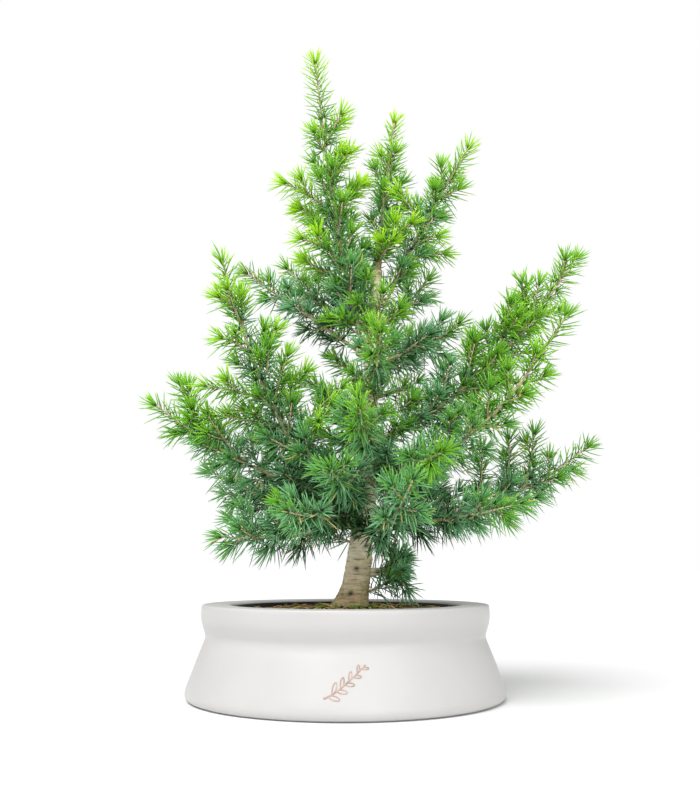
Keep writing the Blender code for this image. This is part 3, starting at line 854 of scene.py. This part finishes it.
def make_leader():
    """The plug-in top shoot, which has no hinge."""
    low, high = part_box("leader_stem")
    start = np.array((TRUNK_SECTIONS[-1][1] * MM, 0.0, TRUNK_SECTIONS[-1][0] * MM))
    if not low.z < start[2] < high.z:
        raise RuntimeError("the leader's stem doesn't start at the trunk's top")
    line = Line(start, LEADER.tip, LEADER.sag)
    needles, wood = Needles(len(BRANCHES) + 1), Parts()
    path, share = stem_path(line, needles.random, 30, 1.2 * MM)
    thickness = 0.9 + (LEADER.girth - 0.9) * (1 - share) ** 1.4
    add_tube(wood, path, thickness * MM, 14, tone=share**0.8)
    grow_twigs(LEADER, line, 0.05, needles, wood)
    youth = LEADER.youth + STEM_YOUTH
    dress(needles, wood, path, LEADER.girth * 0.6 * MM, youth, 2 * MM, LEADER.fresh, 0.15)
    settle(wood.make("leader_wood", [material("stem")]), "tree", "stem", "leader_stem")
    settle_needles(needles, "leader_needles", "tree", "leader_spray")


def make_trunk_shoots():
    """Short shoots that grow straight from the trunk between the branches."""
    needles, wood = Needles(len(BRANCHES) + 2), Parts()
    draw = needles.random
    for height, angle, length in TRUNK_SHOOTS:
        centre, radius = trunk_rings(height * MM)
        turn = math.radians(angle)
        out = np.array((math.cos(turn), math.sin(turn), 0.0))
        start = np.array((centre, 0.0, height * MM)) + out * radius * 0.8
        way = unit(out + UP * draw.uniform(0.15, 0.5))
        path = bent_path(start, way, length * MM, UP * draw.uniform(0.1, 0.3), 0.04, draw)
        youth = 0.2 + 0.3 * (height - 90) / 300 + draw.normal(0, 0.05)
        grow_twig(path, 0.0013, youth, UP, needles, wood, 0.12)
    settle(wood.make("trunk_shoot_wood", [material("stem")]), "tree", "stem")
    settle_needles(needles, "trunk_shoot_needles", "tree")


# ---- trunk


def trunk_rings(heights):
    """Centre x and radius of the trunk at heights, all in metres."""
    table = np.array(TRUNK_SECTIONS) * MM
    dense = np.linspace(table[0, 0], table[-1, 0], 400)
    blend = 12  # rows averaged on each side
    window = np.ones(2 * blend + 1) / (2 * blend + 1)
    smooth = []
    for column in (1, 2):
        values = np.interp(dense, table[:, 0], table[:, column])
        padded = np.pad(values, blend, mode="edge")
        smooth.append(np.interp(heights, dense, np.convolve(padded, window, "valid")))
    return smooth


def add_bole(parts):
    """The trunk's bark: lumps, level ridges, knots and a flared foot."""
    heights = np.arange(58.0, 394.1, 1.1) * MM
    sides, root_turn, even_radius = 88, math.radians(195), 0.02
    knot_width, knot_height = 0.0042, 0.0028
    centre, radius = trunk_rings(heights)
    around, height = np.meshgrid(circle(sides), heights)
    outward = np.stack([np.cos(around), np.sin(around), np.zeros_like(around)], -1)
    flat = (outward * even_radius + height[..., None] * UP).reshape(-1, 3)
    lumps = fractal(flat, 45, 3, (1, 1, 0.6)).reshape(around.shape)
    ridges = fractal(flat, 190, 4, (1, 1, 4.5)).reshape(around.shape)
    swell = radius[:, None] * (1 + 0.05 * lumps) + ridges * 0.0008
    foot = np.clip((0.1 - height) / 0.026, 0, 1.2)
    roots = 0.5 + 0.5 * np.cos(3 * (around - root_turn))
    swell += foot**2 * (0.001 + 0.006 * roots * (0.45 + 0.55 * (np.cos(around - root_turn) > -0.2)))
    dark = np.zeros_like(height)
    for knot, knot_angle in KNOTS:
        turn = (around - math.radians(knot_angle) + math.pi) % math.tau - math.pi
        away = np.hypot(turn * radius[:, None] / knot_width, (height - knot * MM) / knot_height)
        swell += 0.0008 * np.exp(-((away - 1.1) ** 2) / 0.18) - 0.0007 * np.exp(-(away**2) / 0.3)
        dark = np.maximum(dark, np.exp(-(away**2) / 0.5))
    points = outward * swell[..., None]
    points[..., 0] += centre[:, None]
    points[..., 2] = height
    brown = np.clip((0.124 - height) / 0.036, 0, 1) ** 1.3 * 0.85
    faces = [ring_faces(len(heights), sides), *end_caps(len(heights), sides)]
    parts.add(points, faces, tone=dark.ravel(), along=brown.ravel())


# An ear of a fork, in millimetres: half its height, how far it runs back into the trunk, where its round
# nose is centred, its hole's radius, its bevel, and how far its two faces are from the middle
EAR_HALF, EAR_ROOT, EAR_NOSE, EAR_HOLE, EAR_BEVEL = 3.7, -9.0, -0.3, 1.6, 0.45
EAR_INNER, EAR_OUTER = 1.98, 3.92


def ear_reach(angle):
    """How far an ear reaches from the pin at an angle: flat above, below and behind, and round in front."""
    ahead, rise = math.cos(angle), math.sin(angle)
    level = EAR_HALF / max(abs(rise), 1e-6)
    root = EAR_ROOT / min(ahead, -1e-6) if ahead < 0 else math.inf
    if ahead * min(level, root) < EAR_NOSE:
        return min(level, root)
    return EAR_NOSE * ahead + math.sqrt(max(EAR_HALF**2 - (EAR_NOSE * rise) ** 2, 0))


def add_fork(parts, joint):
    """The two ears that hold a branch's pin: bevelled plates with a hole, set into the bark."""
    pivot, axis = np.array(joint["pos_m"]), unit(joint["axis"])
    outline = 40
    angle = circle(outline)
    reach = np.array([ear_reach(a) for a in angle])[:, None] * MM
    wheel = spun(angle, np.cross(axis, UP) * -1, UP)
    bevel, hole = EAR_BEVEL * MM, wheel * EAR_HOLE * MM
    for way in (-1, 1):
        inner, outer = pivot + axis * way * EAR_INNER * MM, pivot + axis * way * EAR_OUTER * MM
        shift = axis * way * bevel
        loops = [
            inner + hole,
            inner + wheel * (reach - bevel),
            inner + shift + wheel * reach,
            outer - shift + wheel * reach,
            outer + wheel * (reach - bevel),
            outer + hole,
        ]
        points = np.stack(loops).reshape(-1, 3)
        faces = ring_faces(len(loops) + 1, outline) % len(points)
        rough = fractal(points, 260, 2) * 0.00012
        parts.add(points + rough[:, None] * UP, [faces[:, ::way]], tone=0.12)


def make_trunk():
    """The bark with every branch's fork set into it."""
    parts = Parts()
    add_bole(parts)
    for branch in BRANCHES:
        add_fork(parts, JOINTS[branch.name + "_hinge"])
    settle(parts.make("trunk_bark", [material("bark")]), "tree", "bark", "trunk")


# ---- pot, liner and soil

POT_HEIGHT = 0.08


def pot_outside():
    """The pot's outer side from its rim down, in millimetres."""
    return rounded(
        [
            (124, 80.0), (126.6, 80.0), (128.1, 79.0), (128.4, 74.0), (128.0, 66.0),
            (125.6, 58.5), (124.0, 54.0), (124.8, 49.5), (127.5, 43.0), (135.3, 22.0),
            (139.6, 10.5), (140.6, 5.6), (139.0, 1.6), (135.0, 0.0),
        ]
    )


def pot_waver(angle, height):
    """How far the cast wall stands off its true circle."""
    share = np.clip(height / POT_HEIGHT, 0, 1)
    wave = np.sin(3 * angle + 0.6) + 0.6 * np.sin(5 * angle + 2.1 + 3 * share)
    wave = wave + 0.4 * np.sin(2 * angle - 1.0)
    return wave * bpy.context.scene.cedar_pot.waver * np.minimum(1, height / 0.01)


def make_pot():
    """The pot as one closed wall: up its inside, over its rim, down its outside and across its foot."""
    inside = rounded(
        [
            (0.0, 7.0), (128, 7.0), (132.5, 12), (118, 47), (117, 56),
            (120, 70), (118, 74), (104.5, 74), (102.5, 75.5), (102.5, 78.5),
            (104.5, 80.0), (124, 80.0),
        ]
    )
    profile = np.concatenate([inside, pot_outside()[1:], [(0.0, 0.0)]]) * MM
    parts = Parts()
    add_turned(parts, profile, 160, pot_waver)
    settle(parts.make("pot_body", [material("glaze")]), "pot", "pot", "ceramic_pot")


def on_pot(across_mm, height_mm):
    """A point on the pot's front, from its place across and its height."""
    outside = pot_outside()[::-1]
    across_mm, height_mm = np.asarray(across_mm, float), np.asarray(height_mm, float)
    radius = np.interp(height_mm, outside[:, 1], outside[:, 0])
    angle = -np.arccos(across_mm / radius)
    radius = radius + pot_waver(angle, height_mm * MM) / MM
    return np.stack([across_mm, -np.sqrt(radius**2 - across_mm**2), height_mm], -1) * MM


def make_mark():
    """A small pressed sprig: one curved stalk with leaf outlines on both sides."""
    parts = Parts()
    share = np.linspace(0, 1, 24)
    low, width, rise = 17.0, 31.0, 23.0
    stalk_x = width * (share - 0.5)
    stalk_z = low + rise * share**1.3
    add_tube(parts, on_pot(stalk_x, stalk_z), np.linspace(0.75, 0.5, 24) * MM, 8)
    for k in range(9):
        at = 0.12 + 0.1 * k
        root = np.array((np.interp(at, share, stalk_x), np.interp(at, share, stalk_z)))
        heading = math.atan2(rise * 1.3 * at**0.3, width) + (0.75 if k % 2 else -0.75)
        length = 8.5 - 0.45 * k
        turn = np.linspace(0, math.tau, 25)
        leaf = np.stack([length / 2 * (1 - np.cos(turn)), length * 0.17 * np.sin(turn)], 1)
        spin = np.array(((math.cos(heading), math.sin(heading)), (-math.sin(heading), math.cos(heading))))
        outline = root + leaf @ spin
        add_tube(parts, on_pot(outline[:, 0], outline[:, 1]), 0.48 * MM, 6)
    settle(parts.make("pot_mark", [material("mark")]), "pot", "pot")


def make_liner():
    """The inner pot as one closed wall with a rolled rim."""
    foot = 7.35
    inside = rounded([(0.0, foot + 1.6), (89.4, foot + 1.6), (95.3, 71.5), (97.8, 73.4), (98.2, 77.6)], 2)
    rim = rounded([(98.2, 77.6), (98.5, 78.2), (99.7, 78.2), (100.0, 77.5), (100.0, 73.2), (97.1, 71.0)], 2)
    profile = np.concatenate([inside, rim[1:], [(91.0, foot), (0.0, foot)]]) * MM
    parts = Parts()
    add_turned(parts, profile, 128)
    settle(parts.make("liner_shell", [material("liner")]), "tree", "liner", "liner_pot")


# The soil's edge, and the two rings of the skirt below it: radius and height, in millimetres
SOIL_EDGE = 93.4
SOIL_SKIRT = ((SOIL_EDGE, 71.0), (90.0, 45.4))
LITTER_EDGE = 91


def soil_height(x, y):
    """Height of the soil's top, in metres, at places in metres."""
    away = np.hypot(x - 0.006, y) / MM
    level = np.interp(away, [0, 24, 45, 70, 93], [77.2, 77.0, 76.0, 74.8, 73.6]) * MM
    return level + 0.0011 * np.sin(x * 71 + 1.0) * np.cos(y * 83)


def make_soil():
    """The soil's rough top and the skirt below its edge."""
    parts = Parts()
    rings, sides = 70, 150
    radius = np.linspace(0.1, SOIL_EDGE, rings) * MM
    around = np.stack([np.cos(circle(sides)), np.sin(circle(sides)), np.zeros(sides)], -1)
    top = around * radius[:, None, None]
    flat = top.reshape(-1, 3)
    rough = (fractal(flat, 120, 4) * 0.0016 + fractal(flat, 420, 2) * 0.0007).reshape(rings, sides)
    fade = np.minimum(1, (SOIL_EDGE * MM - radius[:, None]) / 0.004)
    top = top + (soil_height(top[..., 0], top[..., 1]) + rough * fade)[..., None] * UP
    skirt = [(around * edge + UP * height)[None] * MM for edge, height in SOIL_SKIRT]
    faces = [ring_faces(rings + 2, sides), *end_caps(rings + 2, sides)]
    parts.add(np.concatenate([top, *skirt]), [block[:, ::-1] for block in faces])
    settle(parts.make("soil_ground", [material("soil")]), "tree", "soil", "soil_cover")


def scattered(draw, count, least, most):
    """Places on the soil, from least to most millimetres from the axis, thicker towards the trunk."""
    radius = (least + (most - least) * draw.random(count) ** 0.8) * MM
    angle = draw.uniform(0, math.tau, count)
    x, y = 0.008 * (1 - radius / 0.1) + radius * np.cos(angle), radius * np.sin(angle)
    return np.stack([x, y, soil_height(x, y)], -1)


def make_litter():
    """Dry needles and crumbs on the soil, and moss round the trunk's foot."""
    settings = bpy.context.scene.cedar_soil
    draw = np.random.default_rng(77)
    parts = Parts()
    for place in scattered(draw, settings.straw, 20, LITTER_EDGE):
        turn, tilt = draw.uniform(0, math.tau), draw.normal(0.05, 0.2)
        way = np.array((math.cos(turn) * math.cos(tilt), math.sin(turn) * math.cos(tilt), math.sin(tilt)))
        length = draw.uniform(9, 20) * MM
        start = place + UP * draw.uniform(0.2, 1.6) * MM - way * length / 2
        path = bent_path(start, way, length, UP * 0.02, 0.08, draw, 4)
        add_tube(parts, path, np.array((0.35, 0.45, 0.4, 0.12)) * MM, 3, tone=draw.uniform(0.15, 0.72))
    for place in scattered(draw, settings.crumbs, 20, LITTER_EDGE):
        size = draw.uniform(0.6, 1.7) * MM
        path = place + np.outer(np.linspace(-0.2, 1.0, 4), UP) * size
        tone = draw.choice((0.0, 0.2, 0.35, 0.66))
        add_tube(parts, path, np.array((0.6, 1.0, 0.85, 0.3)) * size, 6, tone=tone)
    for place in scattered(draw, settings.moss, 17, 30):
        for _ in range(22):
            lean = draw.normal(0, 0.6, 2)
            way = unit(np.array((lean[0], lean[1], 1.0)))
            root = place + np.array((*draw.normal(0, 1.6, 2), -0.4)) * MM
            path = bent_path(root, way, draw.uniform(2.2, 4.6) * MM, UP * 0.1, 0.05, draw, 3)
            add_tube(parts, path, np.array((0.32, 0.38, 0.1)) * MM, 3, tone=draw.uniform(0.78, 1.0))
    settle(parts.make("soil_litter", [material("litter")]), "tree", "soil")


# ---- operators

# The parts inside that keep the frame's shapes, and their materials
INSIDE = {"anchor_plate": "steel", "anchor_nut": "steel", "trunk_rod": "steel", "ballast": "plaster"}
# The suns' places, which they shine from, and their spreads in degrees
KEY_PLACE, KEY_SPREAD = (-0.4, -0.62, 1.15), 46
FILL_PLACE, FILL_SPREAD = (0.5, -0.95, 0.22), 50
CAMERA_PLACE, CAMERA_RISE, CAMERA_LENS = (0.004, -0.82, 0.112), 10.66, 40
FLOOR_HALF, FLOOR_DROP = 30.0, -0.0002


class CEDAR_OT_pot(bpy.types.Operator):
    """Make the ceramic pot and the sprig pressed in its front"""

    bl_idname = "cedar.pot"
    bl_label = "Pot"

    def execute(self, context):
        make_pot()
        make_mark()
        return {"FINISHED"}


class CEDAR_OT_filling(bpy.types.Operator):
    """Make the liner, the soil and its litter, and finish the parts inside"""

    bl_idname = "cedar.filling"
    bl_label = "Liner and soil"

    def execute(self, context):
        make_liner()
        make_soil()
        make_litter()
        for node, finish in INSIDE.items():
            frame["nodes"][node].data.materials.clear()
            frame["nodes"][node].data.materials.append(material(finish))
        return {"FINISHED"}


class CEDAR_OT_trunk(bpy.types.Operator):
    """Make the trunk's bark with its forks, and the leader"""

    bl_idname = "cedar.trunk"
    bl_label = "Trunk and leader"

    def execute(self, context):
        make_trunk()
        make_leader()
        make_trunk_shoots()
        return {"FINISHED"}


class CEDAR_OT_branches(bpy.types.Operator):
    """Make the wood and the needles of every hinged branch"""

    bl_idname = "cedar.branches"
    bl_label = "Branches"

    def execute(self, context):
        for index, branch in enumerate(BRANCHES):
            make_branch(branch, index)
        return {"FINISHED"}


class CEDAR_OT_stage(bpy.types.Operator):
    """Make the floor, the lights and the camera"""

    bl_idname = "cedar.stage"
    bl_label = "Stage"

    def execute(self, context):
        settings = context.scene.cedar_stage
        context.scene.view_settings.view_transform = "Standard"
        make_world(settings)
        parts = Parts()
        corners = ((-1, -1), (1, -1), (1, 1), (-1, 1))
        parts.add([(x * FLOOR_HALF, y * FLOOR_HALF, FLOOR_DROP) for x, y in corners], [[(0, 1, 2, 3)]])
        parts.make("floor", [material("floor")])
        add_sun("key", KEY_PLACE, KEY_SPREAD, settings.key)
        add_sun("fill", FILL_PLACE, FILL_SPREAD, settings.fill)
        add_camera()
        return {"FINISHED"}


def make_world(settings):
    """White behind the tree, and a dimmer even light on it."""
    world = bpy.data.worlds.new("even_light")
    bpy.context.scene.world = world
    world.use_nodes = True
    tree = world.node_tree
    seen = add_node(tree, "LightPath").outputs["Is Camera Ray"]
    span = [("Value", seen), ("To Min", settings.sky), ("To Max", 1.0)]
    strength = add_node(tree, "MapRange", span).outputs["Result"]
    background = tree.nodes["Background"]
    background.inputs["Color"].default_value = (1, 1, 1, 1)
    tree.links.new(strength, background.inputs["Strength"])


def add_sun(name, place, spread, strength):
    data = bpy.data.lights.new(name, "SUN")
    data.energy = strength
    data.angle = math.radians(spread)
    light = bpy.data.objects.new(name, data)
    light.location = place
    light.rotation_euler = (-Vector(place)).to_track_quat("-Z", "Y").to_euler()
    bpy.context.scene.collection.objects.link(light)


def add_camera():
    data = bpy.data.cameras.new("camera")
    data.lens = CAMERA_LENS
    data.sensor_width = 36
    camera = bpy.data.objects.new("camera", data)
    camera.location = CAMERA_PLACE
    camera.rotation_euler = (math.radians(90 + CAMERA_RISE), 0, 0)
    bpy.context.scene.collection.objects.link(camera)
    bpy.context.scene.camera = camera


class CEDAR_PT_panel(bpy.types.Panel):
    """Settings and steps of the tabletop cedar"""

    bl_idname = "CEDAR_PT_panel"
    bl_label = "Tabletop Cedar"
    bl_space_type = "VIEW_3D"
    bl_region_type = "UI"
    bl_category = "Cedar"

    def draw(self, context):
        for operator, group in STEPS.items():
            box = self.layout.box()
            box.operator("cedar." + operator)
            settings = getattr(context.scene, group)
            for key in settings.__annotations__:
                box.prop(settings, key)


SETTINGS = {
    "cedar_pot": CedarPotSettings,
    "cedar_soil": CedarSoilSettings,
    "cedar_wood": CedarWoodSettings,
    "cedar_needles": CedarNeedleSettings,
    "cedar_stage": CedarStageSettings,
}
# Each operator, in order, and the settings shown with it
STEPS = {
    "pot": "cedar_pot",
    "filling": "cedar_soil",
    "trunk": "cedar_wood",
    "branches": "cedar_needles",
    "stage": "cedar_stage",
}
CLASSES = (
    *SETTINGS.values(),
    CEDAR_OT_pot,
    CEDAR_OT_filling,
    CEDAR_OT_trunk,
    CEDAR_OT_branches,
    CEDAR_OT_stage,
    CEDAR_PT_panel,
)


def register():
    for cls in CLASSES:
        bpy.utils.register_class(cls)
    for name, cls in SETTINGS.items():
        setattr(bpy.types.Scene, name, PointerProperty(type=cls))


def unregister():
    for name in SETTINGS:
        delattr(bpy.types.Scene, name)
    for cls in reversed(CLASSES):
        bpy.utils.unregister_class(cls)


def main():
    register()
    for operator in STEPS:
        getattr(bpy.ops.cedar, operator)()


if __name__ == "__main__":
    main()
